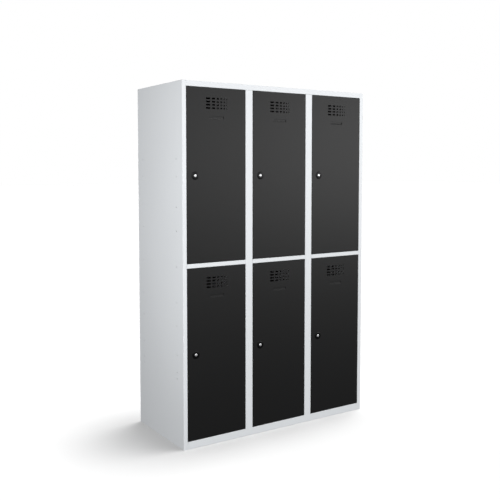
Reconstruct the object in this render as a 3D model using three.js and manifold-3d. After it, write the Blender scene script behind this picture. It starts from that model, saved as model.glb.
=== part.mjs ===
// Steel locker cabinet: three columns of two compartments, each closed by a flush hinged door with
// a cam lock. Millimetres, +Z up, the front faces -Y, origin at the centre of the base.

import * as THREE from "three";
import { mergeVertices } from "three/addons/utils/BufferGeometryUtils.js";
import Module from "manifold-3d";

const wasm = await Module();
wasm.setup();

// ---------------------------------------------------------------- driving dimensions

const WIDTH = 1144;
const HEIGHT = 1800;
const DEPTH = 500; // front face of the frame to the back face
const LOCK_PROUD = 3; // plug face in front of the frame

const SHEET = 0.8; // sheet steel
const HALF_SHEET = SHEET / 2;
const FIT = 0.3; // gap between pieces that touch
const BEND_RADIUS = 1; // middle of the sheet, in each fold
const BEND_STEPS = 2;

const STILE = 22; // visible width of the outer uprights
const MULLION = 42; // visible width of the inner uprights
const TOP_RAIL = 27; // visible heights of the rails
const MIDDLE_RAIL = 21;
const BOTTOM_RAIL = 37;
const STOP_DEPTH = 18; // door stops, behind the front face
const STOP_WIDTH = 10; // how far a door stop reaches into its opening
const RAIL_RETURN = 17.7; // depth of the folded rails
const RAIL_LIP = 10; // upturned edge inside a folded rail
const REAR_FLANGE = 15;

const COLUMNS = ["left", "middle", "right"];
const ALL_COLUMNS = [...COLUMNS.keys()];
const ROWS = ["lower", "upper"];

const DOOR_GAP = 1.5; // reveal round each door
const DOOR_DEPTH = 16;
const DOOR_LIP = 12; // rear return of the door pan
const DOOR_EDGE_RADIUS = 1.4;
const HINGE_INSET = 6; // hinge axis from the door's edge
const HINGE_DEPTH = 4; // hinge axis behind the front face

const PIN_RADIUS = 2.5;
const PIN_HOLE_RADIUS = 3;
const PIN_CHAMFER = 0.5;
const PIN_IN_DOOR = 20;
const PIN_PAST_RAIL = 5;

const VENT_WIDTHS = [24, 18, 12, 9, 6, 4]; // slots of one row, shrinking towards the hinge
const VENT_SPACE = 9.4; // between neighbouring slots
const VENT_ROWS = 4;
const VENT_HEIGHT = 8;
const VENT_PITCH = 15.5;
const VENT_TOP = 52; // door top to the middle of the first row

const LABEL_WIDTH = 80;
const LABEL_HEIGHT = 14;
const LABEL_BOTTOM = 151; // door top to the label's lower edge
const LABEL_RECESS = 2.5;
const LABEL_SLOPE = 4.5; // height of the sloped lower edge
const RIM = 2; // metal kept round a pressed recess

const STIFFENER_INSET = 53; // middle of the hat profile from the hinge edge
const STIFFENER_WIDTH = 60;
const STIFFENER_CROWN = 36;
const STIFFENER_DEPTH = 13;
const STIFFENER_END = 20; // clear length above and below

const LOCK_INSET = 46; // lock axis from the door's free edge
const COLLAR_RADIUS = 20;
const COLLAR_FLAT_RADIUS = 14; // outside it the collar slopes down to its rim
const COLLAR_PROUD = 2;
const COLLAR_RIM = 0.8; // how far the rim stands in front of the door
const BARREL_RADIUS = 9.5;
const BARREL_END = 19.6; // behind the door face
const PLUG_HEAD_RADIUS = 7;
const PLUG_RADIUS = 6;
const PLUG_SHOULDER = 1;
const PLUG_CHAMFER = 0.6;
const KEYWAY = { width: 1.4, height: 8, depth: 2 };
const TANG = 6; // square end of the plug that carries the cam
const TANG_END = 22.6;
const CAM_FRONT = 20.1;
const CAM_THICKNESS = 2;
const CAM_BOSS_RADIUS = 8.5;
const CAM_HALF_WIDTH = 7;
const CAM_REACH = 45; // lock axis to the cam's tip

const RAIL_RADIUS = 8; // coat rail
const RAIL_ROSETTE_RADIUS = 14;
const RAIL_ROSETTE_THICKNESS = 3;
const RAIL_DROP = 38; // opening top to the coat rail's axis
const HOOK_WIRE_RADIUS = 2.5;
const HOOK_OFFSETS = [-80, 80];
const HOOK_ROOT = 6; // below the coat rail's axis, inside the bar
const HOOK_DROP = 30; // end of the straight stem, and height of the tip
const HOOK_BOTTOM = 44;
const HOOK_REACH = 24; // stem to tip

const SIDE_HOLE_RADIUS = 2.5;
const SIDE_HOLE_HEIGHTS = [342, 374, 460, 605, 721, 898, 1073, 1190, 1338, 1425];
const SIDE_HOLE_FROM_FRONT = 65;
const SIDE_HOLE_FROM_BACK = 57;

const ROUND_STEPS = 14; // facets of the lock parts
const SMALL_STEPS = 8; // facets of pins, small holes and coat rails
const ARC_STEPS = 4; // half the facets of an arc in an outline
const WIRE_STEPS = 3; // half the facets of the hooks' wire
const OVERCUT = 1; // how far a cutter runs past the metal
const WELD_DISTANCE = 1e-4; // corners closer than this are one corner

// ---------------------------------------------------------------- places worked out from them

const FRONT = -(DEPTH - LOCK_PROUD) / 2;
const BACK = FRONT + DEPTH;
const RIGHT = WIDTH / 2;
const OPENING_WIDTH = (WIDTH - 2 * STILE - 2 * MULLION) / COLUMNS.length;
const OPENING_HEIGHT = (HEIGHT - TOP_RAIL - MIDDLE_RAIL - BOTTOM_RAIL) / ROWS.length;
const DOOR_WIDTH = OPENING_WIDTH - 2 * DOOR_GAP;
const DOOR_HEIGHT = OPENING_HEIGHT - 2 * DOOR_GAP;
const INNER_BACK = BACK - SHEET - FIT; // where the sides end and the back panel begins
const PLATE_END = INNER_BACK - SHEET - FIT;
const STOP_REAR = STOP_DEPTH + SHEET;
const WALL_TOP = HEIGHT - SHEET - FIT; // the walls end under the top panel's sheet

const columnStart = (column) => -RIGHT + STILE + column * (OPENING_WIDTH + MULLION);
const rowStart = (row) => BOTTOM_RAIL + row * (OPENING_HEIGHT + MIDDLE_RAIL);
const mullionCentre = (index) => columnStart(index + 1) - MULLION / 2;
const hingeX = (column) => columnStart(column) + OPENING_WIDTH - DOOR_GAP - HINGE_INSET;
const HINGE_Y = FRONT + HINGE_DEPTH;

// Clear width of a column between the walls, behind the front frame.
function columnWalls(column) {
  const last = COLUMNS.length - 1;
  const start = column === 0 ? -RIGHT + SHEET : mullionCentre(column - 1) + HALF_SHEET;
  const end = column === last ? RIGHT - SHEET : mullionCentre(column) - HALF_SHEET;
  return [start + FIT, end - FIT];
}

// ---------------------------------------------------------------- solids

function toSolid(geometry) {
  const shell = geometry.clone();
  shell.deleteAttribute("normal");
  shell.deleteAttribute("uv");
  const merged = mergeVertices(shell, WELD_DISTANCE);
  const corners = merged.index.array;
  const triangles = [];
  for (let i = 0; i < corners.length; i += 3) {
    const [a, b, c] = [corners[i], corners[i + 1], corners[i + 2]];
    if (a !== b && b !== c && c !== a) triangles.push(a, b, c);
  }
  const vertProperties = new Float32Array(merged.attributes.position.array);
  const triVerts = new Uint32Array(triangles);
  return new wasm.Manifold(new wasm.Mesh({ numProp: 3, vertProperties, triVerts }));
}

function toGeometry(solid) {
  const { vertProperties, triVerts } = solid.getMesh();
  const indexed = new THREE.BufferGeometry();
  indexed.setAttribute("position", new THREE.BufferAttribute(vertProperties, 3));
  indexed.setIndex(new THREE.BufferAttribute(triVerts, 1));
  const geometry = indexed.toNonIndexed();
  geometry.computeVertexNormals();
  return geometry;
}

const joined = (solids) => solids.reduce((whole, solid) => whole.add(solid));
const cut = (solid, cutters) => cutters.reduce((rest, cutter) => rest.subtract(cutter), solid);

function block([x0, x1], [y0, y1], [z0, z1]) {
  const geometry = new THREE.BoxGeometry(x1 - x0, y1 - y0, z1 - z0);
  geometry.translate((x0 + x1) / 2, (y0 + y1) / 2, (z0 + z1) / 2);
  return toSolid(geometry);
}

// Upright round bar or drill.
function uprightRod(x, y, [z0, z1], radius) {
  const geometry = new THREE.CylinderGeometry(radius, radius, z1 - z0, SMALL_STEPS);
  geometry.rotateX(Math.PI / 2);
  geometry.translate(x, y, (z0 + z1) / 2);
  return toSolid(geometry);
}

// Turned piece about the Y axis, from points of radius and distance along Y.
function turned(points, steps) {
  const profile = points.map(([radius, along]) => new THREE.Vector2(radius, along));
  return toSolid(new THREE.LatheGeometry(profile, steps));
}

// Prism of an outline drawn in X and Y, standing along Z.
function prismAlongZ(shape, [z0, z1]) {
  const options = { depth: z1 - z0, bevelEnabled: false, curveSegments: 1 };
  return toSolid(new THREE.ExtrudeGeometry(shape, options).translate(0, 0, z0));
}

// Prism of an outline drawn in Y and Z, lying along X.
function prismAlongX(shape, [x0, x1]) {
  const geometry = new THREE.ExtrudeGeometry(shape, { depth: x1 - x0, bevelEnabled: false });
  const axes = [new THREE.Vector3(0, 1, 0), new THREE.Vector3(0, 0, 1), new THREE.Vector3(1, 0, 0)];
  geometry.applyMatrix4(new THREE.Matrix4().makeBasis(...axes));
  geometry.translate(x0, 0, 0);
  return toSolid(geometry);
}

// Prism of an outline drawn in X and Z, from front y0 to rear y1, with its edges rounded if asked.
function prismAlongY(shape, [y0, y1], edgeRadius = 0) {
  const geometry = new THREE.ExtrudeGeometry(shape, {
    depth: y1 - y0 - 2 * edgeRadius,
    bevelEnabled: edgeRadius > 0,
    bevelSize: edgeRadius,
    bevelThickness: edgeRadius,
    bevelOffset: -edgeRadius,
    bevelSegments: BEND_STEPS,
    curveSegments: ARC_STEPS,
  });
  geometry.rotateX(Math.PI / 2);
  geometry.translate(0, y1 - edgeRadius, 0);
  return toSolid(geometry);
}

const outline = (points) => new THREE.Shape(points.map(([a, b]) => new THREE.Vector2(a, b)));
const rectangle = ([a0, a1], [b0, b1]) => outline([[a0, b0], [a1, b0], [a1, b1], [a0, b1]]);

// Outline of a sheet folded along the corners of a path that follows the middle of the sheet.
function foldedOutline(corners) {
  const path = corners.map(([a, b]) => new THREE.Vector2(a, b));
  const headings = path.slice(1).map((corner, i) => corner.clone().sub(path[i]).normalize());
  const leftOf = (heading) => new THREE.Vector2(-heading.y, heading.x);
  const left = [];
  const right = [];
  const addPair = (middle, side) => {
    left.push(middle.clone().addScaledVector(side, HALF_SHEET));
    right.push(middle.clone().addScaledVector(side, -HALF_SHEET));
  };
  path.forEach((corner, i) => {
    if (i === 0 || i === path.length - 1) {
      addPair(corner, leftOf(headings[Math.max(i - 1, 0)]));
      return;
    }
    const turn = Math.sign(headings[i - 1].cross(headings[i]));
    const inward = leftOf(headings[i - 1]).multiplyScalar(turn);
    const bendStart = corner.clone().addScaledVector(headings[i - 1], -BEND_RADIUS);
    const centre = bendStart.addScaledVector(inward, BEND_RADIUS);
    for (let step = 0; step <= BEND_STEPS; step += 1) {
      const angle = (turn * step * Math.PI) / 2 / BEND_STEPS;
      const side = leftOf(headings[i - 1]).rotateAround(new THREE.Vector2(), angle);
      addPair(centre.clone().addScaledVector(side, -turn * BEND_RADIUS), side);
    }
  });
  return new THREE.Shape([...left, ...right.reverse()]);
}

// ---------------------------------------------------------------- frame

// Side wall with its stile, door stop and rear flange folded from one sheet. sign is -1 or 1.
function sidePanel(sign) {
  const x = (inward) => sign * (RIGHT - inward);
  const folded = foldedOutline([
    [x(STILE + STOP_WIDTH), FRONT + STOP_DEPTH + HALF_SHEET],
    [x(STILE - HALF_SHEET), FRONT + STOP_DEPTH + HALF_SHEET],
    [x(STILE - HALF_SHEET), FRONT + HALF_SHEET],
    [x(HALF_SHEET), FRONT + HALF_SHEET],
    [x(HALF_SHEET), INNER_BACK - HALF_SHEET],
    [x(REAR_FLANGE), INNER_BACK - HALF_SHEET],
  ]);
  const drills = [];
  for (const y of [FRONT + SIDE_HOLE_FROM_FRONT, BACK - SIDE_HOLE_FROM_BACK]) {
    for (const z of SIDE_HOLE_HEIGHTS) {
      const drill = new THREE.CylinderGeometry(SIDE_HOLE_RADIUS, SIDE_HOLE_RADIUS, STILE / 2, SMALL_STEPS);
      drill.rotateZ(Math.PI / 2);
      drill.translate(x(0), y, z);
      drills.push(toSolid(drill));
    }
  }
  return cut(prismAlongZ(folded, [0, WALL_TOP]), drills);
}

// Horizontal plate with a folded front rail, between the heights of the rail's visible face. front
// is the rail's span between the uprights, wide is the plate's span behind them.
function railedPlate(front, wide, [bottom, top]) {
  const neck = [front[0] + STOP_WIDTH, front[1] - STOP_WIDTH];
  const plate = [top - SHEET, top];
  const folded = foldedOutline([
    [FRONT + RAIL_RETURN - HALF_SHEET, bottom + RAIL_LIP],
    [FRONT + RAIL_RETURN - HALF_SHEET, bottom + HALF_SHEET],
    [FRONT + HALF_SHEET, bottom + HALF_SHEET],
    [FRONT + HALF_SHEET, top - HALF_SHEET],
    [FRONT + RAIL_RETURN, top - HALF_SHEET],
  ]);
  return joined([
    prismAlongX(folded, front),
    block(neck, [FRONT + RAIL_RETURN - OVERCUT, FRONT + STOP_REAR + FIT + OVERCUT], plate),
    block(wide, [FRONT + STOP_REAR + FIT, PLATE_END], plate),
    block(wide, [PLATE_END - SHEET, PLATE_END], [top - REAR_FLANGE, top]),
  ]);
}

const insetSpan = ([start, end], inset) => [start + inset, end - inset];
const fullFront = insetSpan([-RIGHT + STILE, RIGHT - STILE], FIT);
const fullWidth = insetSpan([-RIGHT + SHEET, RIGHT - SHEET], FIT);

// Pin holes of every column, through the metal between two heights.
const pinHoles = (columns, heights) =>
  columns.map((column) => uprightRod(hingeX(column), HINGE_Y, heights, PIN_HOLE_RADIUS));

// The top panel's sheet also covers the stiles, the side walls and the back panel.
function topPanel() {
  const bottom = HEIGHT - TOP_RAIL;
  const sheet = [HEIGHT - SHEET, HEIGHT];
  const behindFold = FRONT + RAIL_RETURN;
  const ears = [-1, 1].map((sign) => {
    const edges = [sign * RIGHT, sign * (RIGHT - STILE - FIT)].sort((a, b) => a - b);
    return block(edges, [FRONT, behindFold], sheet);
  });
  const cover = block([-RIGHT, RIGHT], [behindFold - OVERCUT, BACK], sheet);
  const panel = joined([railedPlate(fullFront, fullWidth, [bottom, HEIGHT]), cover, ...ears]);
  return cut(panel, pinHoles(ALL_COLUMNS, [bottom - OVERCUT, bottom + SHEET + OVERCUT]));
}

function bottomPanel() {
  const panel = railedPlate(fullFront, fullWidth, [0, BOTTOM_RAIL]);
  return cut(panel, pinHoles(ALL_COLUMNS, [BOTTOM_RAIL - SHEET - OVERCUT, BOTTOM_RAIL + OVERCUT]));
}

function shelf(column) {
  const start = columnStart(column);
  const span = [rowStart(1) - MIDDLE_RAIL, rowStart(1)];
  const front = insetSpan([start, start + OPENING_WIDTH], FIT);
  return cut(railedPlate(front, columnWalls(column), span), pinHoles([column], insetSpan(span, -OVERCUT)));
}

// Partition: a hollow mullion with a door stop on each side, and a wall from it to the back.
function partition(index) {
  const centre = mullionCentre(index);
  const half = MULLION / 2;
  const wing = half + STOP_WIDTH;
  const corner = BEND_RADIUS + HALF_SHEET;
  const wallEnd = PLATE_END - SHEET - FIT;
  const shape = new THREE.Shape();
  shape.absarc(centre - half + corner, FRONT + corner, corner, Math.PI, Math.PI * 1.5);
  shape.absarc(centre + half - corner, FRONT + corner, corner, Math.PI * 1.5, Math.PI * 2);
  shape.lineTo(centre + half, FRONT + STOP_DEPTH);
  shape.lineTo(centre + wing, FRONT + STOP_DEPTH);
  shape.lineTo(centre + wing, FRONT + STOP_REAR);
  shape.lineTo(centre + HALF_SHEET, FRONT + STOP_REAR);
  shape.lineTo(centre + HALF_SHEET, wallEnd);
  shape.lineTo(centre - HALF_SHEET, wallEnd);
  shape.lineTo(centre - HALF_SHEET, FRONT + STOP_REAR);
  shape.lineTo(centre - wing, FRONT + STOP_REAR);
  shape.lineTo(centre - wing, FRONT + STOP_DEPTH);
  shape.lineTo(centre - half, FRONT + STOP_DEPTH);
  const foot = BOTTOM_RAIL + FIT;
  const head = HEIGHT - TOP_RAIL - FIT;
  const hollowDepth = [FRONT + SHEET, FRONT + STOP_DEPTH];
  const hollow = block([centre - half + SHEET, centre + half - SHEET], hollowDepth, [0, HEIGHT]);
  const frontDepth = [FRONT - OVERCUT, FRONT + STOP_REAR + FIT];
  const aboveMullion = block([centre - MULLION, centre + MULLION], frontDepth, [head, HEIGHT]);
  return cut(prismAlongZ(shape, [foot, WALL_TOP]), [hollow, aboveMullion]);
}

const backPanel = () => block([-RIGHT, RIGHT], [BACK - SHEET, BACK], [0, WALL_TOP]);

// Coat rail with a rosette at each end and hooks on the way, in place along X.
function coatRail(length) {
  const half = length / 2;
  const shoulder = half - RAIL_ROSETTE_THICKNESS;
  const bar = new THREE.LatheGeometry(
    [
      [0, -half],
      [RAIL_ROSETTE_RADIUS, -half],
      [RAIL_ROSETTE_RADIUS, -shoulder],
      [RAIL_RADIUS, -shoulder],
      [RAIL_RADIUS, shoulder],
      [RAIL_ROSETTE_RADIUS, shoulder],
      [RAIL_ROSETTE_RADIUS, half],
      [0, half],
    ].map(([radius, along]) => new THREE.Vector2(radius, along)),
    SMALL_STEPS,
  );
  bar.rotateZ(-Math.PI / 2);
  return joined([toSolid(bar), ...HOOK_OFFSETS.map(coatHook)]);
}

// Wire hook that hangs below the coat rail and turns up towards the door.
function coatHook(x) {
  const stations = [
    [0, -HOOK_ROOT],
    [0, -HOOK_DROP],
    [-HOOK_REACH / 2, -HOOK_BOTTOM],
    [-HOOK_REACH, -HOOK_DROP],
  ];
  const curve = new THREE.CatmullRomCurve3(stations.map(([y, z]) => new THREE.Vector3(x, y, z)));
  const wire = new THREE.Shape().absarc(0, 0, HOOK_WIRE_RADIUS, 0, Math.PI * 2);
  const options = { steps: 2 * stations.length, curveSegments: WIRE_STEPS, extrudePath: curve };
  return toSolid(new THREE.ExtrudeGeometry(wire, options));
}

// ---------------------------------------------------------------- door, drawn about its hinge axis

const DOOR_FACE = -HINGE_DEPTH;
const DOOR_REAR = DOOR_FACE + DOOR_DEPTH;
const DOOR_SPAN = [HINGE_INSET - DOOR_WIDTH, HINGE_INSET];
const DOOR_MIDDLE = (DOOR_SPAN[0] + DOOR_SPAN[1]) / 2;
const DOOR_RISE = [0, DOOR_HEIGHT];
const LOCK_AT = [DOOR_SPAN[0] + LOCK_INSET, DOOR_FACE, DOOR_HEIGHT / 2];

function ventCutters() {
  const total = VENT_WIDTHS.reduce((sum, width) => sum + width + VENT_SPACE, -VENT_SPACE);
  const cutters = [];
  for (let row = 0; row < VENT_ROWS; row += 1) {
    const middle = DOOR_HEIGHT - VENT_TOP - row * VENT_PITCH;
    let x = DOOR_MIDDLE - total / 2;
    for (const width of VENT_WIDTHS) {
      const depth = [DOOR_FACE - OVERCUT, DOOR_FACE + SHEET + OVERCUT];
      cutters.push(block([x, x + width], depth, [middle - VENT_HEIGHT / 2, middle + VENT_HEIGHT / 2]));
      x += width + VENT_SPACE;
    }
  }
  return cutters;
}

const labelSpan = [DOOR_MIDDLE - LABEL_WIDTH / 2, DOOR_MIDDLE + LABEL_WIDTH / 2];
const labelRise = [DOOR_HEIGHT - LABEL_BOTTOM, DOOR_HEIGHT - LABEL_BOTTOM + LABEL_HEIGHT];

function labelBacking() {
  const depth = [DOOR_FACE + HALF_SHEET, DOOR_FACE + LABEL_RECESS + SHEET];
  return block(insetSpan(labelSpan, -RIM), depth, insetSpan(labelRise, -RIM));
}

// Shallow field for a name card, with a sloped lower edge.
function labelCutter() {
  const floor = DOOR_FACE + LABEL_RECESS;
  const section = outline([
    [DOOR_FACE - OVERCUT, labelRise[0] - (LABEL_SLOPE * OVERCUT) / LABEL_RECESS],
    [floor, labelRise[0] + LABEL_SLOPE],
    [floor, labelRise[1]],
    [DOOR_FACE - OVERCUT, labelRise[1]],
  ]);
  return prismAlongX(section, labelSpan);
}

const atLock = (solid) => solid.translate(LOCK_AT);

function lockBore() {
  const radius = BARREL_RADIUS + FIT;
  const section = [[0, -OVERCUT], [radius, -OVERCUT], [radius, DOOR_DEPTH], [0, DOOR_DEPTH]];
  return atLock(turned(section, ROUND_STEPS));
}

function doorPan() {
  const face = rectangle(DOOR_SPAN, DOOR_RISE);
  const box = prismAlongY(face, [DOOR_FACE, DOOR_REAR], DOOR_EDGE_RADIUS);
  const hollow = [DOOR_FACE + SHEET, DOOR_REAR - SHEET];
  const cavity = block(insetSpan(DOOR_SPAN, SHEET), hollow, insetSpan(DOOR_RISE, SHEET));
  const rear = [DOOR_REAR - SHEET - OVERCUT, DOOR_REAR + OVERCUT];
  const window = block(insetSpan(DOOR_SPAN, DOOR_LIP), rear, insetSpan(DOOR_RISE, DOOR_LIP));
  const pan = joined([cut(box, [cavity, window]), labelBacking()]);
  const pinHole = uprightRod(0, 0, insetSpan(DOOR_RISE, -OVERCUT), PIN_HOLE_RADIUS);
  return cut(pan, [...ventCutters(), labelCutter(), lockBore(), pinHole]);
}

function doorStiffener() {
  const centre = HINGE_INSET - STIFFENER_INSET;
  const foot = DOOR_FACE + SHEET + FIT + HALF_SHEET;
  const crown = DOOR_FACE + STIFFENER_DEPTH;
  const hat = foldedOutline([
    [centre - STIFFENER_WIDTH / 2, foot],
    [centre - STIFFENER_CROWN / 2, foot],
    [centre - STIFFENER_CROWN / 2, crown],
    [centre + STIFFENER_CROWN / 2, crown],
    [centre + STIFFENER_CROWN / 2, foot],
    [centre + STIFFENER_WIDTH / 2, foot],
  ]);
  return prismAlongZ(hat, insetSpan(DOOR_RISE, STIFFENER_END));
}

// Pin across the gap between the door's edge at z = 0 and the rail above it.
function hingePin() {
  const tip = DOOR_GAP + SHEET + PIN_PAST_RAIL;
  const slim = PIN_RADIUS - PIN_CHAMFER;
  const pin = new THREE.LatheGeometry(
    [
      [0, -PIN_IN_DOOR],
      [slim, -PIN_IN_DOOR],
      [PIN_RADIUS, PIN_CHAMFER - PIN_IN_DOOR],
      [PIN_RADIUS, tip - PIN_CHAMFER],
      [slim, tip],
      [0, tip],
    ].map(([radius, along]) => new THREE.Vector2(radius, along)),
    SMALL_STEPS,
  );
  return toSolid(pin.rotateX(Math.PI / 2));
}

// ---------------------------------------------------------------- lock, drawn about its own axis

function lockHousing() {
  const bore = PLUG_RADIUS + FIT;
  const pocket = PLUG_HEAD_RADIUS + FIT;
  const shoulder = PLUG_SHOULDER + FIT;
  return turned(
    [
      [pocket, -COLLAR_PROUD],
      [COLLAR_FLAT_RADIUS, -COLLAR_PROUD],
      [COLLAR_RADIUS, -COLLAR_RIM],
      [COLLAR_RADIUS, -FIT],
      [BARREL_RADIUS, -FIT],
      [BARREL_RADIUS, BARREL_END],
      [bore, BARREL_END],
      [bore, shoulder],
      [pocket, shoulder],
      [pocket, -COLLAR_PROUD],
    ],
    ROUND_STEPS,
  );
}

function lockPlug() {
  const barrel = turned(
    [
      [0, -LOCK_PROUD],
      [PLUG_HEAD_RADIUS - PLUG_CHAMFER, -LOCK_PROUD],
      [PLUG_HEAD_RADIUS, PLUG_CHAMFER - LOCK_PROUD],
      [PLUG_HEAD_RADIUS, PLUG_SHOULDER],
      [PLUG_RADIUS, PLUG_SHOULDER],
      [PLUG_RADIUS, CAM_FRONT - FIT],
      [0, CAM_FRONT - FIT],
    ],
    ROUND_STEPS,
  );
  const tangSpan = [-TANG / 2, TANG / 2];
  const tang = block(tangSpan, [CAM_FRONT - OVERCUT, TANG_END], tangSpan);
  const slot = [-KEYWAY.width / 2, KEYWAY.width / 2];
  const slotRise = [-KEYWAY.height / 2, KEYWAY.height / 2];
  const keyway = block(slot, [-LOCK_PROUD - OVERCUT, KEYWAY.depth - LOCK_PROUD], slotRise);
  return barrel.add(tang).subtract(keyway);
}

// Flat cam that hangs straight down when the lock is open.
function lockCam() {
  const flank = Math.asin(CAM_HALF_WIDTH / CAM_BOSS_RADIUS);
  const tip = CAM_HALF_WIDTH - CAM_REACH;
  const shape = new THREE.Shape();
  shape.absarc(0, 0, CAM_BOSS_RADIUS, flank - Math.PI / 2, Math.PI * 1.5 - flank);
  shape.absarc(0, tip, CAM_HALF_WIDTH, Math.PI, Math.PI * 2);
  shape.closePath();
  const square = insetSpan([-TANG / 2, TANG / 2], -FIT);
  const hole = block(square, [CAM_FRONT - OVERCUT, CAM_FRONT + CAM_THICKNESS + OVERCUT], square);
  return prismAlongY(shape, [CAM_FRONT, CAM_FRONT + CAM_THICKNESS]).subtract(hole);
}

// ---------------------------------------------------------------- finishes

function finish(color, roughness, metalness) {
  return new THREE.MeshStandardMaterial({ color, roughness, metalness });
}

const lightGrey = () => finish(0xd3d6d9, 0.5, 0.1);
const anthracite = () => finish(0x34363a, 0.5, 0.1);
const zincSteel = () => finish(0xa9adb0, 0.4, 0.9);
const chrome = () => finish(0xe4e6e8, 0.12, 1);
const blackPlastic = () => finish(0x0c0d0e, 0.4, 0);

// ---------------------------------------------------------------- assembly

function piece(name, solidOrGeometry, material) {
  const made = solidOrGeometry.isBufferGeometry ? solidOrGeometry : toGeometry(solidOrGeometry);
  const mesh = new THREE.Mesh(made, material);
  mesh.name = name;
  return mesh;
}

const cabinet = new THREE.Group();
cabinet.add(piece("side_panel_left", sidePanel(-1), lightGrey()));
cabinet.add(piece("side_panel_right", sidePanel(1), lightGrey()));
cabinet.add(piece("back_panel", backPanel(), lightGrey()));
cabinet.add(piece("top_panel", topPanel(), lightGrey()));
cabinet.add(piece("bottom_panel", bottomPanel(), lightGrey()));
cabinet.add(piece("partition_left", partition(0), lightGrey()));
cabinet.add(piece("partition_right", partition(1), lightGrey()));

const shapes = {
  pan: toGeometry(doorPan()),
  stiffener: toGeometry(doorStiffener()),
  pin: toGeometry(hingePin()),
  housing: toGeometry(lockHousing()),
  plug: toGeometry(lockPlug()),
  cam: toGeometry(lockCam()),
};

// Door with its stiffener, pins and lock, hung on its hinge axis at the bottom of its opening.
function door(place) {
  const group = new THREE.Group();
  const topPin = piece(`hinge_pin_top_${place}`, shapes.pin, zincSteel());
  topPin.position.z = DOOR_HEIGHT;
  const bottomPin = piece(`hinge_pin_bottom_${place}`, shapes.pin, zincSteel());
  bottomPin.rotation.x = Math.PI;
  const lock = new THREE.Group();
  lock.position.set(...LOCK_AT);
  lock.add(piece(`lock_housing_${place}`, shapes.housing, blackPlastic()));
  lock.add(piece(`lock_plug_${place}`, shapes.plug, chrome()));
  lock.add(piece(`lock_cam_${place}`, shapes.cam, zincSteel()));
  group.add(piece(`door_${place}`, shapes.pan, anthracite()));
  group.add(piece(`door_stiffener_${place}`, shapes.stiffener, anthracite()));
  group.add(topPin, bottomPin, lock);
  return group;
}

COLUMNS.forEach((columnName, column) => {
  const walls = columnWalls(column);
  cabinet.add(piece(`shelf_${columnName}`, shelf(column), lightGrey()));
  ROWS.forEach((rowName, row) => {
    const place = `${rowName}_${columnName}`;
    const hung = door(place);
    hung.position.set(hingeX(column), HINGE_Y, rowStart(row) + DOOR_GAP);
    const rail = piece(`coat_rail_${place}`, coatRail(walls[1] - walls[0]), zincSteel());
    rail.position.set((walls[0] + walls[1]) / 2, 0, rowStart(row) + OPENING_HEIGHT - RAIL_DROP);
    cabinet.add(hung, rail);
  });
});

export default cabinet;
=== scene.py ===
"""Looks of the steel locker cabinet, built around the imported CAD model. Metres, +Z up, front faces -Y."""

import math

import bmesh
import bpy
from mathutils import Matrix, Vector


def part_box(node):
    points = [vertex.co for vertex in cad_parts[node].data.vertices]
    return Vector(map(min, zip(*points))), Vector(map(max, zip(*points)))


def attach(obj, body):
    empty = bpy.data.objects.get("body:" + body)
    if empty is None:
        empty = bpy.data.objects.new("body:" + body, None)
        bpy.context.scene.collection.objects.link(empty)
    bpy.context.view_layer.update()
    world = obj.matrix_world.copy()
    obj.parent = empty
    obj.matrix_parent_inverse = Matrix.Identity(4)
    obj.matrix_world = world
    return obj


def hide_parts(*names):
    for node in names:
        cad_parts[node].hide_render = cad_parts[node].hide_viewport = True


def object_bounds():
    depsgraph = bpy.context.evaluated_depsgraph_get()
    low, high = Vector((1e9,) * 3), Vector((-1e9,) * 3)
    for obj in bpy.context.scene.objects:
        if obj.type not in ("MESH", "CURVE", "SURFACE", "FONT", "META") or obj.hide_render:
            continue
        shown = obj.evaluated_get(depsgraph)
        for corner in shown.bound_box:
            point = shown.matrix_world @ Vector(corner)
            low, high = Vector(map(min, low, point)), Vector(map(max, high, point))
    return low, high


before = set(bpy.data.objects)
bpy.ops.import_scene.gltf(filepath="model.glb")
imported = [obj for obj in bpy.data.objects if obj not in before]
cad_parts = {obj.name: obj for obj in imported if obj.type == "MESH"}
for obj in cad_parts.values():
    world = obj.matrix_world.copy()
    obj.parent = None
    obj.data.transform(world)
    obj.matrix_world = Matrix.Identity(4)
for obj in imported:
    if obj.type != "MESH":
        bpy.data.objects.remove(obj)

CAD_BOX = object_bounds()
MM = 0.001

COLUMNS = ("left", "middle", "right")
ROWS = ("lower", "upper")
PLACES = [f"{row}_{column}" for row in ROWS for column in COLUMNS]

# ---------------------------------------------------------------- sizes of the details, in millimetres

SHEET = 0.8

DOOR_EDGE_RADIUS = 1.4
DOOR_LIP = 12

VENT_WIDTHS = (24, 18, 12, 9, 6, 4)  # slots of one row, shrinking towards the hinge
VENT_SPACE = 9.4
VENT_ROWS = 4
VENT_HEIGHT = 8
VENT_PITCH = 15.5
VENT_TOP = 52  # door top to the middle of the first row
VENT_CORNER = 1.2
VENT_MARGIN = 2  # metal kept round a slot before the next face of the mesh

PUNCH_EDGE = 0.2  # rounding of an edge punched through the sheet
PUNCH_WALL = 0.72  # depth of the punched wall, a little short of the sheet

LABEL_WIDTH = 80
LABEL_HEIGHT = 14
LABEL_BOTTOM = 151  # door top to the label's lower edge
LABEL_CORNER = 2
LABEL_RECESS = 2.5
LABEL_SLOPE = 4.5  # height of the sloped lower edge
LABEL_EDGE = 0.4
LABEL_BEND = (0.25, 0.3)  # middle of the rounded edge across and along, as shares of it
LABEL_MARGIN = 3

LOCK_INSET = 46  # lock axis from the door's free edge
LOCK_CELL = 24  # half the square of door face round the lock
LOCK_BORE = 9.8

ARC = 6  # facets of each quarter of a small arc
ROUND = 14  # facets of each quarter of a lock part

WELD = 0.001
SMOOTH_BELOW = math.radians(30)
FLAT_WEIGHT = 100  # how strongly large faces keep their normals


# ---------------------------------------------------------------- mesh helpers

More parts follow.
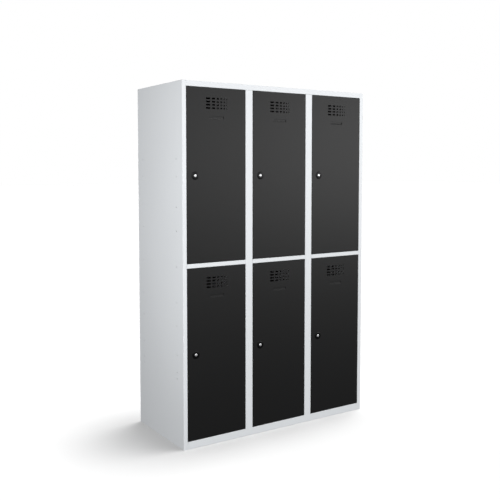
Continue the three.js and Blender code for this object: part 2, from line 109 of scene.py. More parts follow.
def ring(corners, steps):
    """Closed outline of four quarter arcs, anticlockwise from the right. A corner is (x, z, radius)."""
    points = []
    for quarter, (x, z, radius) in enumerate(corners):
        for step in range(steps + 1):
            angle = (quarter + step / steps) * math.pi / 2
            points.append((x + radius * math.cos(angle), z + radius * math.sin(angle)))
    return points


def circle(x, z, radius, steps):
    return ring([(x, z, radius)] * 4, steps)


def rounded_box(x, z, half_width, half_height, radius, steps):
    dx, dz = half_width - radius, half_height - radius
    signs = ((1, 1), (-1, 1), (-1, -1), (1, -1))
    return ring([(x + sx * dx, z + sz * dz, radius) for sx, sz in signs], steps)


class Maker:
    """A mesh in the making. Its points are millimetres across, up and along its axes from its origin."""

    def __init__(self, origin, axes=((1, 0, 0), (0, 0, 1), (0, 1, 0))):
        self.bm = bmesh.new()
        self.origin = Vector(origin)
        self.axes = [Vector(axis) for axis in axes]

    def place(self, across, up, along):
        right, top, inward = self.axes
        return self.origin + (across * right + up * top + along * inward) * MM

    def face(self, corners):
        self.bm.faces.new([self.bm.verts.new(self.place(*corner)) for corner in corners])

    def flat(self, outline, along):
        self.face([(across, up, along) for across, up in outline])

    def bridge(self, outer, inner):
        """Quads between two closed rings of as many points, each point (across, up, along)."""
        count = len(outer)
        for i in range(count):
            j = (i + 1) % count
            self.face([outer[i], outer[j], inner[j], inner[i]])

    def stack(self, rings, closed=False):
        """Skin over rings, each (outline, along), in order. A closed skin joins the last to the first."""
        solid = [[(across, up, along) for across, up in outline] for outline, along in rings]
        for first, second in zip(solid, solid[1:]):
            self.bridge(first, second)
        if closed:
            self.bridge(solid[-1], solid[0])

    def surround(self, cell, outline, along=0):
        """Flat faces between a rectangular cell and a four-arc outline inside it."""
        (x0, x1), (z0, z1) = cell
        corners = ((x1, z1), (x0, z1), (x0, z0), (x1, z0))
        count = len(outline) // 4
        for quarter, corner in enumerate(corners):
            arc = outline[quarter * count:(quarter + 1) * count]
            for start, end in zip(arc, arc[1:]):
                self.flat([start, corner, end], along)
            after = outline[(quarter + 1) * count % len(outline)]
            self.flat([arc[-1], corner, corners[(quarter + 1) % 4], after], along)

    def finish(self, name, material, thickness=0, solid=False):
        """The welded object, smooth where its faces meet gently, with sheet thickness inside if asked."""
        bmesh.ops.remove_doubles(self.bm, verts=self.bm.verts, dist=WELD * MM)
        if solid:
            bmesh.ops.recalc_face_normals(self.bm, faces=self.bm.faces)
        mesh = bpy.data.meshes.new(name)
        self.bm.to_mesh(mesh)
        self.bm.free()
        piece = bpy.data.objects.new(name, mesh)
        bpy.context.scene.collection.objects.link(piece)
        if thickness:
            thicken(piece, thickness)
        piece.data.shade_smooth()
        piece.data.set_sharp_from_angle(angle=SMOOTH_BELOW)
        piece.data.materials.clear()
        piece.data.materials.append(material)
        flatten_faces(piece)
        return piece


def flatten_faces(piece):
    """Large faces keep flat normals, and the small rounded faces beside them take up the turn."""
    modifier = piece.modifiers.new("face_normals", "WEIGHTED_NORMAL")
    modifier.mode = "FACE_AREA"
    modifier.weight = FLAT_WEIGHT
    modifier.keep_sharp = True


def thicken(piece, thickness):
    modifier = piece.modifiers.new("thickness", "SOLIDIFY")
    modifier.thickness = thickness * MM
    modifier.offset = -1
    modifier.use_even_offset = True
    modifier.use_quality_normals = True
    evaluated = piece.evaluated_get(bpy.context.evaluated_depsgraph_get())
    thick = bpy.data.meshes.new_from_object(evaluated)
    piece.modifiers.clear()
    thick.name = piece.data.name
    piece.data = thick


def stand_in(piece, node, body):
    """The piece stands for a CAD node and moves with its body."""
    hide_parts(node)
    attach(piece, body)


# ---------------------------------------------------------------- materials

MIX_COLOURS = (6, 7)  # the colour sockets of a Mix node
MIX_RESULT = 2
NOISE_RANGE = (0.3, 0.7)  # where most of a noise texture's values lie


class Shader:
    """A node material: a Principled shader with helpers for the textures that feed it."""

    def __init__(self, name):
        self.material = bpy.data.materials.new(name)
        self.material.use_nodes = True
        self.nodes = self.material.node_tree.nodes
        self.links = self.material.node_tree.links
        self.surface = self.nodes["Principled BSDF"]
        self.place = self.nodes.new("ShaderNodeTexCoord").outputs["Object"]

    def add(self, kind, settings=None, **inputs):
        node = self.nodes.new(kind)
        for key, value in (settings or {}).items():
            setattr(node, key, value)
        for key, value in inputs.items():
            self.feed(node.inputs[key.replace("_", " ")], value)
        return node

    def feed(self, socket, value):
        if isinstance(value, bpy.types.NodeSocket):
            self.links.new(value, socket)
        else:
            socket.default_value = value

    def stretched(self, scale):
        return self.add("ShaderNodeMapping", Vector=self.place, Scale=scale).outputs["Vector"]

    def noise(self, grain, detail=2.0, where=None):
        """Noise from 0 to 1 whose grains are about that many metres across."""
        vector = self.place if where is None else where
        node = self.add("ShaderNodeTexNoise", Vector=vector, Scale=1 / grain, Detail=detail)
        return node.outputs["Fac"]

    def spread(self, value, low, high, source=NOISE_RANGE):
        """The value stretched from the source range to low and high, and held there beyond it."""
        node = self.add("ShaderNodeMapRange", Value=value)
        node.inputs["From Min"].default_value, node.inputs["From Max"].default_value = source
        node.inputs["To Min"].default_value, node.inputs["To Max"].default_value = low, high
        return node.outputs["Result"]

    def blend(self, factor, first, second):
        node = self.add("ShaderNodeMix", {"data_type": "RGBA"})
        self.feed(node.inputs["Factor"], factor)
        for socket, colour in zip(MIX_COLOURS, (first, second)):
            self.feed(node.inputs[socket], colour)
        return node.outputs[MIX_RESULT]

    def bump(self, height, depth, under=None):
        node = self.add("ShaderNodeBump", Height=height, Strength=1.0, Distance=depth)
        if under is not None:
            self.links.new(under, node.inputs["Normal"])
        return node.outputs["Normal"]

    def paint(self, colour, roughness, metallic=0.0, normal=None):
        self.feed(self.surface.inputs["Base Color"], colour)
        self.feed(self.surface.inputs["Roughness"], roughness)
        self.feed(self.surface.inputs["Metallic"], metallic)
        if normal is not None:
            self.links.new(normal, self.surface.inputs["Normal"])
        return self.material


def shade(colour, factor):
    return (*(min(1.0, channel * factor) for channel in colour), 1.0)


def powder_coat(name, colour, roughness, sheen_level, clouding=0.015):
    """Baked powder paint: orange peel, a fine grain, and a slow drift of tone and gloss."""
    cloud_size = 0.5
    fleck_size, fleck_range, fleck_light = 0.9 * MM, (0.62, 0.78), 4 * clouding
    gloss_size, gloss_drift = 1.8 * MM, 0.02
    peel_size, peel_depth = 2.4 * MM, 0.012 * MM
    grain_size, grain_depth = 0.5 * MM, peel_depth / 6
    s = Shader(name)
    tone = s.spread(s.noise(cloud_size, detail=3.0), 0.0, 1.0)
    colour_mix = s.blend(tone, shade(colour, 1 - clouding), shade(colour, 1 + clouding))
    flecks = s.spread(s.noise(fleck_size, detail=1.0), 0.0, 1.0, source=fleck_range)
    speckled = s.blend(flecks, colour_mix, shade(colour, 1 + fleck_light))
    gloss = s.spread(s.noise(gloss_size), roughness - gloss_drift, roughness + gloss_drift)
    fine = s.bump(s.noise(grain_size, detail=1.0), grain_depth)
    skin = s.bump(s.noise(peel_size), peel_depth, under=fine)
    s.surface.inputs["Specular IOR Level"].default_value = sheen_level
    return s.paint(speckled, gloss, normal=skin)


def zinc_plate(name):
    """Zinc-plated steel with faint spangles and drawing lines."""
    spangle_size, spangle_range = 4 * MM, (0.0, 0.8)
    dark, light = (0.50, 0.51, 0.53, 1), (0.66, 0.67, 0.68, 1)
    line_size, line_stretch, line_depth = 0.4 * MM, (1.0, 1.0, 0.04), 0.006 * MM
    smoothest, roughest = 0.28, 0.42
    s = Shader(name)
    cells = s.add("ShaderNodeTexVoronoi", Vector=s.place, Scale=1 / spangle_size).outputs["Distance"]
    colour = s.blend(s.spread(cells, 0.0, 1.0, source=spangle_range), dark, light)
    lines = s.noise(line_size, where=s.stretched(line_stretch))
    gloss = s.spread(lines, smoothest, roughest)
    return s.paint(colour, gloss, metallic=1.0, normal=s.bump(lines, line_depth))


def notch_shade_steel(name):
    """Steel rod, dull and painted dark as the shade of the hinge notch it sits in, with faint rings from
    turning.
    """
    ring_size, ring_stretch, ring_depth = 0.3 * MM, (0.1, 0.1, 1.0), 0.004 * MM
    stain_size = 2 * MM
    dark, light = (0.03, 0.03, 0.032, 1), (0.06, 0.06, 0.062, 1)
    smoothest, roughest = 0.4, 0.5
    s = Shader(name)
    rings = s.noise(ring_size, where=s.stretched(ring_stretch))
    colour = s.blend(s.spread(s.noise(stain_size), 0.0, 1.0), dark, light)
    gloss = s.spread(rings, smoothest, roughest)
    return s.paint(colour, gloss, metallic=1.0, normal=s.bump(rings, ring_depth))


def chrome_plate(name):
    """Satin chrome with hairline marks from keys."""
    hair_size, hair_stretch, hair_depth = 0.25 * MM, (0.15, 1.0, 1.0), 0.002 * MM
    haze_size = 3 * MM
    dark, light = (0.66, 0.67, 0.68, 1), (0.78, 0.78, 0.79, 1)
    smoothest, roughest = 0.4, 0.5
    s = Shader(name)
    hairs = s.noise(hair_size, where=s.stretched(hair_stretch))
    gloss = s.spread(hairs, smoothest, roughest)
    colour = s.blend(s.spread(s.noise(haze_size), 0.0, 1.0), dark, light)
    return s.paint(colour, gloss, metallic=1.0, normal=s.bump(hairs, hair_depth))


def moulded_plastic(name):
    """Black moulded plastic with a fine spark-eroded grain."""
    grain_size, grain_depth = 0.35 * MM, 0.01 * MM
    flow_size = 5 * MM
    dark, light = (0.002, 0.002, 0.0022, 1), (0.004, 0.004, 0.0045, 1)
    smoothest, roughest = 0.26, 0.36
    sheen_level = 0.12
    s = Shader(name)
    grain = s.noise(grain_size)
    colour = s.blend(s.spread(s.noise(flow_size), 0.0, 1.0), dark, light)
    s.surface.inputs["Specular IOR Level"].default_value = sheen_level
    return s.paint(colour, s.spread(grain, smoothest, roughest), normal=s.bump(grain, grain_depth))


BODY_COLOUR = (0.76, 0.785, 0.81)
DOOR_COLOUR = (0.0053, 0.0054, 0.0056)

BODY_PAINT = powder_coat("body_powder_coat", BODY_COLOUR, roughness=0.42, sheen_level=0.5)
DOOR_PAINT = powder_coat("door_powder_coat", DOOR_COLOUR, roughness=0.44, sheen_level=0.25, clouding=0.04)
ZINC = zinc_plate("zinc_plated_steel")
CHROME = chrome_plate("chrome_plate")
# the hinge pins' steel is painted dark as the shade in the hinge notch
NOTCH_SHADE_STEEL = notch_shade_steel("steel_painted_notch_shade")
PLASTIC = moulded_plastic("black_plastic")


# ---------------------------------------------------------------- CAD nodes

def finish_of(node):
    # hinge pins take the steel painted dark as the notch's shade
    if node.startswith("hinge_pin"):
        return NOTCH_SHADE_STEEL
    if node.startswith(("coat_rail", "lock_cam")):
        return ZINC
    if node.startswith("lock_housing"):
        return PLASTIC
    if node.startswith("lock_plug"):
        return CHROME
    if node.startswith("door"):
        return DOOR_PAINT
    return BODY_PAINT


for node_name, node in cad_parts.items():
    node.data.materials.clear()
    node.data.materials.append(finish_of(node_name))


# ---------------------------------------------------------------- doors

def vent_band(make, width, height, row):
    """One row of punched slots, as the band's height and its cells."""
    middle = height - VENT_TOP - row * VENT_PITCH
    half = VENT_HEIGHT / 2
    total = sum(VENT_WIDTHS) + VENT_SPACE * (len(VENT_WIDTHS) - 1)
    left = (width - total) / 2
    rise = (middle - half - VENT_MARGIN, middle + half + VENT_MARGIN)
    cells = []
    for slot in VENT_WIDTHS:
        span = (left - VENT_MARGIN, left + slot + VENT_MARGIN)
        cells.append((span, slot_maker(make, left + slot / 2, middle, slot / 2)))
        left += slot + VENT_SPACE
    return rise, cells


def slot_maker(make, x, z, half_width):
    half_height = VENT_HEIGHT / 2

    def build(cell):
        wall = rounded_box(x, z, half_width, half_height, VENT_CORNER, ARC)
        grown = [size + PUNCH_EDGE for size in (half_width, half_height, VENT_CORNER)]
        rim = rounded_box(x, z, *grown, ARC)
        make.surround(cell, rim)
        make.stack([(rim, 0), (wall, PUNCH_EDGE), (wall, PUNCH_WALL)])
    return build


def label_band(make, width, height):
    """Field for a name card: a shallow pressing with rounded edges and a sloped lower side."""
    x, low = width / 2, height - LABEL_BOTTOM
    middle = low + LABEL_HEIGHT / 2
    bend = tuple(share * LABEL_EDGE for share in LABEL_BEND)

    def build(cell):
        profile = [(LABEL_EDGE, 0), bend, (0, LABEL_EDGE)]
        profile += [(-grow, LABEL_RECESS - along) for grow, along in reversed(profile)]
        rings = []
        for grow, along in profile:
            half = (LABEL_WIDTH / 2 + grow, LABEL_HEIGHT / 2 + grow)
            outline = rounded_box(x, middle, *half, LABEL_CORNER + grow, ARC)
            lift = LABEL_SLOPE * along / LABEL_RECESS
            rings.append(([(a, b + lift if b < middle else b) for a, b in outline], along))
        make.surround(cell, rings[0][0])
        make.stack(rings)
        make.flat(rings[-1][0], LABEL_RECESS)

    half_width = LABEL_WIDTH / 2 + LABEL_MARGIN
    rise = (low - LABEL_MARGIN, low + LABEL_HEIGHT + LABEL_MARGIN)
    return rise, [((x - half_width, x + half_width), build)]


def lock_band(make, height):
    def build(cell):
        profile = ((LOCK_BORE + PUNCH_EDGE, 0), (LOCK_BORE, PUNCH_EDGE), (LOCK_BORE, PUNCH_WALL))
        rings = [(circle(LOCK_INSET, height / 2, radius, ROUND), along) for radius, along in profile]
        make.surround(cell, rings[0][0])
        make.stack(rings)

    rise = (height / 2 - LOCK_CELL, height / 2 + LOCK_CELL)
    return rise, [((LOCK_INSET - LOCK_CELL, LOCK_INSET + LOCK_CELL), build)]


def door_face(make, width, height):
    """The door's front, in bands from the bottom up. Returns the heights where bands meet the sides."""
    left, right = DOOR_EDGE_RADIUS, width - DOOR_EDGE_RADIUS
    bands = [lock_band(make, height), label_band(make, width, height)]
    bands += [vent_band(make, width, height, row) for row in reversed(range(VENT_ROWS))]
    below, stops = DOOR_EDGE_RADIUS, (left, right)
    heights = []
    for (low, high), cells in bands:
        lines = [left] + [x for span, _ in cells for x in span] + [right]
        make.flat([(x, below) for x in stops] + [(x, low) for x in reversed(lines)], 0)
        builders = dict(cells)
        for span in zip(lines, lines[1:]):
            if span in builders:
                builders[span]((span, (low, high)))
            else:
                make.flat([(span[0], low), (span[1], low), (span[1], high), (span[0], high)], 0)
        heights += [low, high]
        below, stops = high, lines
    top = height - DOOR_EDGE_RADIUS
    make.flat([(x, below) for x in stops] + [(right, top), (left, top)], 0)
    return heights


def door_edges(make, width, height, depth, heights):
    """Four folded sides with rounded edges and a return lip behind."""
    radius = DOOR_EDGE_RADIUS
    top = height - radius
    right = width - radius
    outline = [(radius, radius), (right, radius)] + [(right, z) for z in heights]
    outline += [(right, top), (radius, top)] + [(radius, z) for z in reversed(heights)]
    bend = [math.radians(90 * step / ARC) for step in range(ARC + 1)]
    profile = [(radius * (1 - math.sin(a)), radius * (1 - math.cos(a))) for a in bend]
    profile += [(inset, depth - along) for inset, along in reversed(profile)]
    profile.append((DOOR_LIP, depth))

    def inset_to(inset):
        across = {radius: inset, right: width - inset}
        up = {radius: inset, top: height - inset}
        return [(across[x], up.get(z, z)) for x, z in outline]

    rings = [(inset_to(inset), along) for inset, along in profile]
    for (inner, shallow), (outer, deep) in zip(rings, rings[1:]):
        make.bridge([(*point, deep) for point in outer], [(*point, shallow) for point in inner])


def build_door(place):
    node = f"door_{place}"
    low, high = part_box(node)
    width, depth, height = [(high - low)[axis] / MM for axis in range(3)]
    make = Maker(low)
    heights = door_face(make, width, height)
    door_edges(make, width, height, depth, heights)
    piece = make.finish(f"door_pan_{place}", DOOR_PAINT, thickness=SHEET)
    stand_in(piece, node, f"door_{place}")
    return low, height


# ---------------------------------------------------------------- locks

COLLAR_RADIUS = 20
COLLAR_FLAT_RADIUS = 14
COLLAR_PROUD = 2
COLLAR_RIM = 0.8  # how far the rim stands in front of the door
COLLAR_RIM_EDGE = 0.25
COLLAR_BEND = 2  # rounding between the flat and the slope
COLLAR_GAP = 0.3
POCKET_RADIUS = 7.3
BARREL_RADIUS = 9.5
BARREL_BORE = 6.3
BARREL_END = 19.6
BARREL_EDGE = 0.4
POCKET_FLOOR = 1.3

PLUG_PROUD = 3
PLUG_FACE_RADIUS = 4.6  # flat middle of the head
PLUG_DOME = 0.6  # fall of the head from its middle to its edge
PLUG_HEAD_RADIUS = 7
PLUG_HEAD_EDGE = 1.1
PLUG_SHOULDER = 1
PLUG_SHOULDER_EDGE = 0.1
PLUG_RADIUS = 6
PLUG_END = 19.8
TANG_HALF = 3
TANG_END = 22.6
TANG_CORNER = 0.4
KEYWAY_HALF = (0.7, 4)
KEYWAY_DEPTH = 2
KEYWAY_CORNER = 0.5
KEYWAY_EDGE = 0.15

CAM_FRONT = 20.1
CAM_BACK = 22.1
CAM_BOSS_RADIUS = 8.5
CAM_TIP_RADIUS = 7
CAM_TIP_DROP = 38
CAM_EDGE = 0.35
CAM_HOLE_HALF = 3.3

# Roundings of turned and moulded corners, in millimetres.
SHARP = 0
CRISP = 0.2
EASY = 0.3


def eased(profile):
    """A profile of (radius, along, rounding) corners, with each corner rounded by a short curve."""
    points = []
    for i, (radius, along, easing) in enumerate(profile):
        corner = Vector((radius, along))
        if easing == 0:
            points.append(tuple(corner))
            continue
        before = Vector(profile[i - 1][:2])
        after = Vector(profile[(i + 1) % len(profile)][:2])
        start = corner + (before - corner).normalized() * easing
        end = corner + (after - corner).normalized() * easing
        for step in range(ARC + 1):
            t = step / ARC
            points.append(tuple((1 - t) ** 2 * start + 2 * t * (1 - t) * corner + t ** 2 * end))
    return points


def build_housing(place, centre):
    """Moulded collar and barrel."""
    profile = eased([
        (POCKET_RADIUS, -COLLAR_PROUD, EASY),
        (COLLAR_FLAT_RADIUS, -COLLAR_PROUD, COLLAR_BEND),
        (COLLAR_RADIUS, -COLLAR_RIM, COLLAR_RIM_EDGE),
        (COLLAR_RADIUS, -COLLAR_GAP, SHARP),
        (BARREL_RADIUS, -COLLAR_GAP, SHARP),
        (BARREL_RADIUS, BARREL_END, BARREL_EDGE),
        (BARREL_BORE, BARREL_END, EASY),
        (BARREL_BORE, POCKET_FLOOR, SHARP),
        (POCKET_RADIUS, POCKET_FLOOR, CRISP),
    ])
    make = Maker(centre)
    make.stack([(circle(0, 0, radius, ROUND), along) for radius, along in profile], closed=True)
    piece = make.finish(f"lock_collar_{place}", PLASTIC, solid=True)
    stand_in(piece, f"lock_housing_{place}", f"door_{place}")


def build_plug(place, centre):
    """Plug with a rounded head, a keyway, and the square tang that carries the cam."""
    edge = KEYWAY_EDGE
    key_width, key_height = KEYWAY_HALF
    keyway = rounded_box(0, 0, key_width, key_height, KEYWAY_CORNER, ROUND)
    keyway_rim = rounded_box(0, 0, key_width + edge, key_height + edge, KEYWAY_CORNER + edge, ROUND)
    tang = rounded_box(0, 0, TANG_HALF, TANG_HALF, TANG_CORNER, ROUND)
    barrel = eased([
        (PLUG_FACE_RADIUS, -PLUG_PROUD, SHARP),
        (PLUG_HEAD_RADIUS, PLUG_DOME - PLUG_PROUD, PLUG_HEAD_EDGE),
        (PLUG_HEAD_RADIUS, PLUG_SHOULDER, CRISP),
        (PLUG_RADIUS, PLUG_SHOULDER, PLUG_SHOULDER_EDGE),
        (PLUG_RADIUS, PLUG_END, EASY),
        (TANG_HALF, PLUG_END, SHARP),
    ])
    rings = [(keyway, KEYWAY_DEPTH - PLUG_PROUD), (keyway, edge - PLUG_PROUD), (keyway_rim, -PLUG_PROUD)]
    rings += [(circle(0, 0, radius, ROUND), along) for radius, along in barrel[:-1]]
    rings += [(tang, PLUG_END), (tang, TANG_END)]
    make = Maker(centre)
    make.stack(rings)
    make.flat(keyway, KEYWAY_DEPTH - PLUG_PROUD)
    make.flat(tang, TANG_END)
    piece = make.finish(f"lock_barrel_{place}", CHROME, solid=True)
    stand_in(piece, f"lock_plug_{place}", f"lock_{place}")


def build_cam(place, centre):
    """Stamped cam with eased edges, hanging from the tang."""
    def outline(inset):
        boss = (0, 0, CAM_BOSS_RADIUS - inset)
        tip = (0, -CAM_TIP_DROP, CAM_TIP_RADIUS - inset)
        return ring([boss, boss, tip, tip], ROUND)

    hole = rounded_box(0, 0, CAM_HOLE_HALF, CAM_HOLE_HALF, TANG_CORNER, ROUND)
    rings = [
        (hole, CAM_FRONT),
        (outline(CAM_EDGE), CAM_FRONT),
        (outline(0), CAM_FRONT + CAM_EDGE),
        (outline(0), CAM_BACK - CAM_EDGE),
        (outline(CAM_EDGE), CAM_BACK),
        (hole, CAM_BACK),
    ]
    make = Maker(centre)
    make.stack(rings, closed=True)
    piece = make.finish(f"lock_tongue_{place}", ZINC, solid=True)
    stand_in(piece, f"lock_cam_{place}", f"lock_{place}")


# ---------------------------------------------------------------- hinge pins and coat rails

PIN_RADIUS = 2.5
PIN_CHAMFER = 0.5

RAIL_RADIUS = 8
ROSETTE_RADIUS = 14
ROSETTE_THICKNESS = 3
ROSETTE_EDGE = 1.2
RAIL_FILLET = 0.5
WIRE_RADIUS = 2.5
HOOK_OFFSETS = (-80, 80)
HOOK_PATH = ((0, -6), (0, -20), (0, -30), (-3.5, -39), (-12, -43.3), (-20.5, -39), (-24, -30))  # y and z
HOOK_STEPS = 6  # stations between two points of the path
WIRE_STEPS = 5  # facets of each quarter of the wire


def build_pin(node, place):
    low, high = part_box(node)
    length = (high - low).z / MM
    centre = ((low.x + high.x) / 2, (low.y + high.y) / 2, low.z)
    slim = PIN_RADIUS - PIN_CHAMFER
    lower_end = [(0, 0), (slim, 0), (PIN_RADIUS, PIN_CHAMFER)]
    profile = lower_end + [(radius, length - along) for radius, along in reversed(lower_end)]
    make = Maker(centre, axes=((1, 0, 0), (0, 1, 0), (0, 0, 1)))
    make.stack([(circle(0, 0, radius, ARC), along) for radius, along in profile])
    piece = make.finish(node.replace("hinge_pin", "hinge_rod"), NOTCH_SHADE_STEEL, solid=True)
    stand_in(piece, node, f"door_{place}")


def between(a, b, c, d, t):
    """The point at t from b to c on the Catmull-Rom curve through a, b, c and d."""
    straight = (c - a) * t
    bend = (2 * a - 5 * b + 4 * c - d) * t ** 2
    twist = (3 * b - a - 3 * c + d) * t ** 3
    return 0.5 * (2 * b + straight + bend + twist)


def smooth_path(points, steps):
    """Stations on a smooth curve through the points."""
    knots = [Vector(point) for point in points]
    knots = [2 * knots[0] - knots[1]] + knots + [2 * knots[-1] - knots[-2]]
    stations = []
    for a, b, c, d in zip(knots, knots[1:], knots[2:], knots[3:]):
        for step in range(steps):
            stations.append(between(a, b, c, d, step / steps))
    return stations + [knots[-2]]


def add_hook(make, offset):
    """Bent wire with a rounded tip. The path lies across the rail."""
    stations = smooth_path(HOOK_PATH, HOOK_STEPS)
    headings = [(b - a).normalized() for a, b in zip(stations, stations[1:])]
    headings.append(headings[-1])
    rings = []
    for station, heading in zip(stations, headings):
        rings.append(wire_ring(station, heading, offset, WIRE_RADIUS))
    for step in range(1, ARC + 1):
        angle = math.radians(90 * step / ARC)
        ahead = stations[-1] + headings[-1] * WIRE_RADIUS * math.sin(angle)
        rings.append(wire_ring(ahead, headings[-1], offset, WIRE_RADIUS * math.cos(angle)))
    for first, second in zip(rings, rings[1:]):
        make.bridge(first, second)
    make.face(list(reversed(rings[0])))


def wire_ring(station, heading, offset, radius):
    side = Vector((-heading.y, heading.x))
    points = []
    for a, b in circle(0, 0, radius, WIRE_STEPS):
        point = station + side * a
        points.append((point.x, point.y, offset + b))
    return points


def build_coat_rail(place):
    """Tube between two rosettes, with wire hooks below it."""
    node = f"coat_rail_{place}"
    low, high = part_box(node)
    length = (high - low).x / MM
    half = length / 2
    axis_height = high.z - ROSETTE_RADIUS * MM
    shoulder = half - ROSETTE_THICKNESS
    profile = eased([
        (0, -half, SHARP),
        (ROSETTE_RADIUS, -half, CRISP),
        (ROSETTE_RADIUS, -shoulder, ROSETTE_EDGE),
        (RAIL_RADIUS, -shoulder, RAIL_FILLET),
        (RAIL_RADIUS, shoulder, RAIL_FILLET),
        (ROSETTE_RADIUS, shoulder, ROSETTE_EDGE),
        (ROSETTE_RADIUS, half, CRISP),
        (0, half, SHARP),
    ])
    centre = ((low.x + high.x) / 2, 0, axis_height)
    make = Maker(centre, axes=((0, 1, 0), (0, 0, 1), (1, 0, 0)))
    make.stack([(circle(0, 0, radius, ROUND // 2), along) for radius, along in profile])
    for offset in HOOK_OFFSETS:
        add_hook(make, offset)
    piece = make.finish(f"coat_bar_{place}", ZINC, solid=True)
    stand_in(piece, node, "cabinet")


for place in PLACES:
    door_low, door_height = build_door(place)
    lock_centre = door_low + Vector((LOCK_INSET, 0, door_height / 2)) * MM
    build_housing(place, lock_centre)
    build_plug(place, lock_centre)
    build_cam(place, lock_centre)
    for end in ("top", "bottom"):
        build_pin(f"hinge_pin_{end}_{place}", place)
    build_coat_rail(place)


# ---------------------------------------------------------------- studio

FLOOR_HALF = 60
FLOOR_GREY = 0.6
FLOOR_GLOW = 0.15
FLOOR_ROUGHNESS = 0.9
FLOOR_MOTTLE = 0.8  # size of the faint patches
FLOOR_DRIFT = 0.01

FLOOR_SUN = 3.45
FLOOR_SUN_SOFTNESS = math.radians(20)
FLOOR_SUN_LEAN = math.radians(10)
FLOOR_SUN_HEIGHT = 5

WORLD_LOW = 0.11
WORLD_HIGH = 0.45
HORIZON = 0.12  # half the height of the blend between the two
BACKDROP = 1.0

SENSOR = 36
LENS = 52.08
LENS_SHIFT = -0.07
CAMERA_PITCH = math.radians(-3.5)
CAMERA_TURN = math.radians(-33.27)
CAMERA_X = -2.2015
CAMERA_HEIGHT = 1.368
CAMERA_STANDOFF = 3.073  # in front of the door faces

LAMPS = (  # name, place, target, width and height, watts
    ("key", (4.5, -4.0, 1.8), (0, 0, 1.1), (2.0, 2.0), 70),
    ("near_key", (2.4, -4.0, 1.6), (0, 0, 1.1), (1.5, 1.5), 32),
    ("front", (0.3, -5.0, 1.8), (0, 0, 0.9), (2.0, 2.0), 49),
    ("top", (1.0, -1.25, 3.9), (0, -0.25, 1.2), (0.8, 0.8), 20),
    ("side_fill", (-2.2, -0.9, 1.25), (-0.575, -0.1, 1.1), (0.7, 0.9), 20),
    ("front_fill", (-2.6, -2.8, 1.2), (-0.575, -0.1, 1.0), (1.0, 1.2), 21),
    ("rear", (1.0, 4.6, 1.8), (0, 0, 1.0), (2.4, 2.0), 70),
    ("rear_right", (3.8, 2.2, 2.0), (0, 0, 1.0), (2.0, 2.0), 90),
)


def build_floor():
    mesh = bpy.data.meshes.new("floor")
    bm = bmesh.new()
    bmesh.ops.create_grid(bm, x_segments=4, y_segments=4, size=FLOOR_HALF)
    bm.to_mesh(mesh)
    bm.free()
    floor = bpy.data.objects.new("floor", mesh)
    bpy.context.scene.collection.objects.link(floor)
    s = Shader("floor_paint")
    pale = (FLOOR_GREY,) * 3
    mottle = s.spread(s.noise(FLOOR_MOTTLE), 0, 1)
    s.paint(s.blend(mottle, shade(pale, 1 - FLOOR_DRIFT), shade(pale, 1 + FLOOR_DRIFT)), FLOOR_ROUGHNESS)
    s.surface.inputs["Emission Color"].default_value = (1, 1, 1, 1)
    s.surface.inputs["Emission Strength"].default_value = FLOOR_GLOW
    s.surface.inputs["Specular IOR Level"].default_value = 0.0
    mesh.materials.append(s.material)
    floor.visible_diffuse = False
    floor.visible_glossy = False
    return floor


def linked(name, floor, state):
    """Receivers for a lamp: the floor only (INCLUDE) or everything but the floor (EXCLUDE)."""
    group = bpy.data.collections.new(name)
    group.objects.link(floor)
    group.collection_objects[0].light_linking.link_state = state
    return group


def light_up(lamp, place, target, link):
    light = bpy.data.objects.new(lamp.name, lamp)
    light.location = place
    light.rotation_euler = (Vector(target) - Vector(place)).to_track_quat("-Z", "Y").to_euler()
    light.light_linking.receiver_collection = link
    bpy.context.scene.collection.objects.link(light)


def soft_light(name, place, target, size, power, link):
    lamp = bpy.data.lights.new(name, "AREA")
    lamp.shape = "RECTANGLE"
    lamp.size, lamp.size_y = size
    lamp.energy = power
    light_up(lamp, place, target, link)


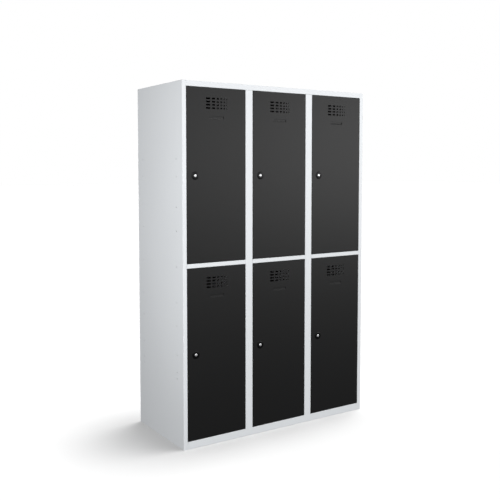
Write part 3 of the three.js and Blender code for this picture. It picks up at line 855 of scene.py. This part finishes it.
def floor_sun(link):
    """Light on the floor only, almost straight down, for the soft shadow at the cabinet's foot."""
    lamp = bpy.data.lights.new("floor_sun", "SUN")
    lamp.energy = FLOOR_SUN
    lamp.angle = FLOOR_SUN_SOFTNESS
    place = (FLOOR_SUN_HEIGHT * math.tan(FLOOR_SUN_LEAN), 0, FLOOR_SUN_HEIGHT)
    light_up(lamp, place, (0, 0, 0), link)


def build_world():
    """Sky lighter above the horizon than below it, behind a plain white backdrop for the camera."""
    world = bpy.data.worlds.new("studio")
    bpy.context.scene.world = world
    world.use_nodes = True
    nodes, links = world.node_tree.nodes, world.node_tree.links
    background = nodes["Background"]
    background.inputs["Color"].default_value = (1, 1, 1, 1)
    place = nodes.new("ShaderNodeTexCoord")
    parts = nodes.new("ShaderNodeSeparateXYZ")
    links.new(place.outputs["Generated"], parts.inputs["Vector"])
    ramp = nodes.new("ShaderNodeMapRange")
    ramp.interpolation_type = "SMOOTHSTEP"
    links.new(parts.outputs["Z"], ramp.inputs["Value"])
    ramp.inputs["From Min"].default_value = -HORIZON
    ramp.inputs["From Max"].default_value = HORIZON
    ramp.inputs["To Min"].default_value = WORLD_LOW
    ramp.inputs["To Max"].default_value = WORLD_HIGH
    seen = nodes.new("ShaderNodeLightPath")
    pick = nodes.new("ShaderNodeMix")
    links.new(seen.outputs["Is Camera Ray"], pick.inputs["Factor"])
    links.new(ramp.outputs["Result"], pick.inputs["A"])
    pick.inputs["B"].default_value = BACKDROP
    links.new(pick.outputs["Result"], background.inputs["Strength"])


def build_camera():
    data = bpy.data.cameras.new("camera")
    data.sensor_width = SENSOR
    data.lens = LENS
    data.shift_y = LENS_SHIFT
    camera = bpy.data.objects.new("camera", data)
    door_faces = CAD_BOX[0].y + PLUG_PROUD * MM
    camera.location = (CAMERA_X, door_faces - CAMERA_STANDOFF, CAMERA_HEIGHT)
    camera.rotation_euler = (math.radians(90) + CAMERA_PITCH, 0, CAMERA_TURN)
    bpy.context.scene.collection.objects.link(camera)
    bpy.context.scene.camera = camera


bpy.context.scene.view_settings.view_transform = "Standard"
build_camera()
build_world()
floor = build_floor()
floor_sun(linked("lit_floor", floor, "INCLUDE"))
off_floor = linked("unlit_floor", floor, "EXCLUDE")
for lamp in LAMPS:
    soft_light(*lamp, off_floor)
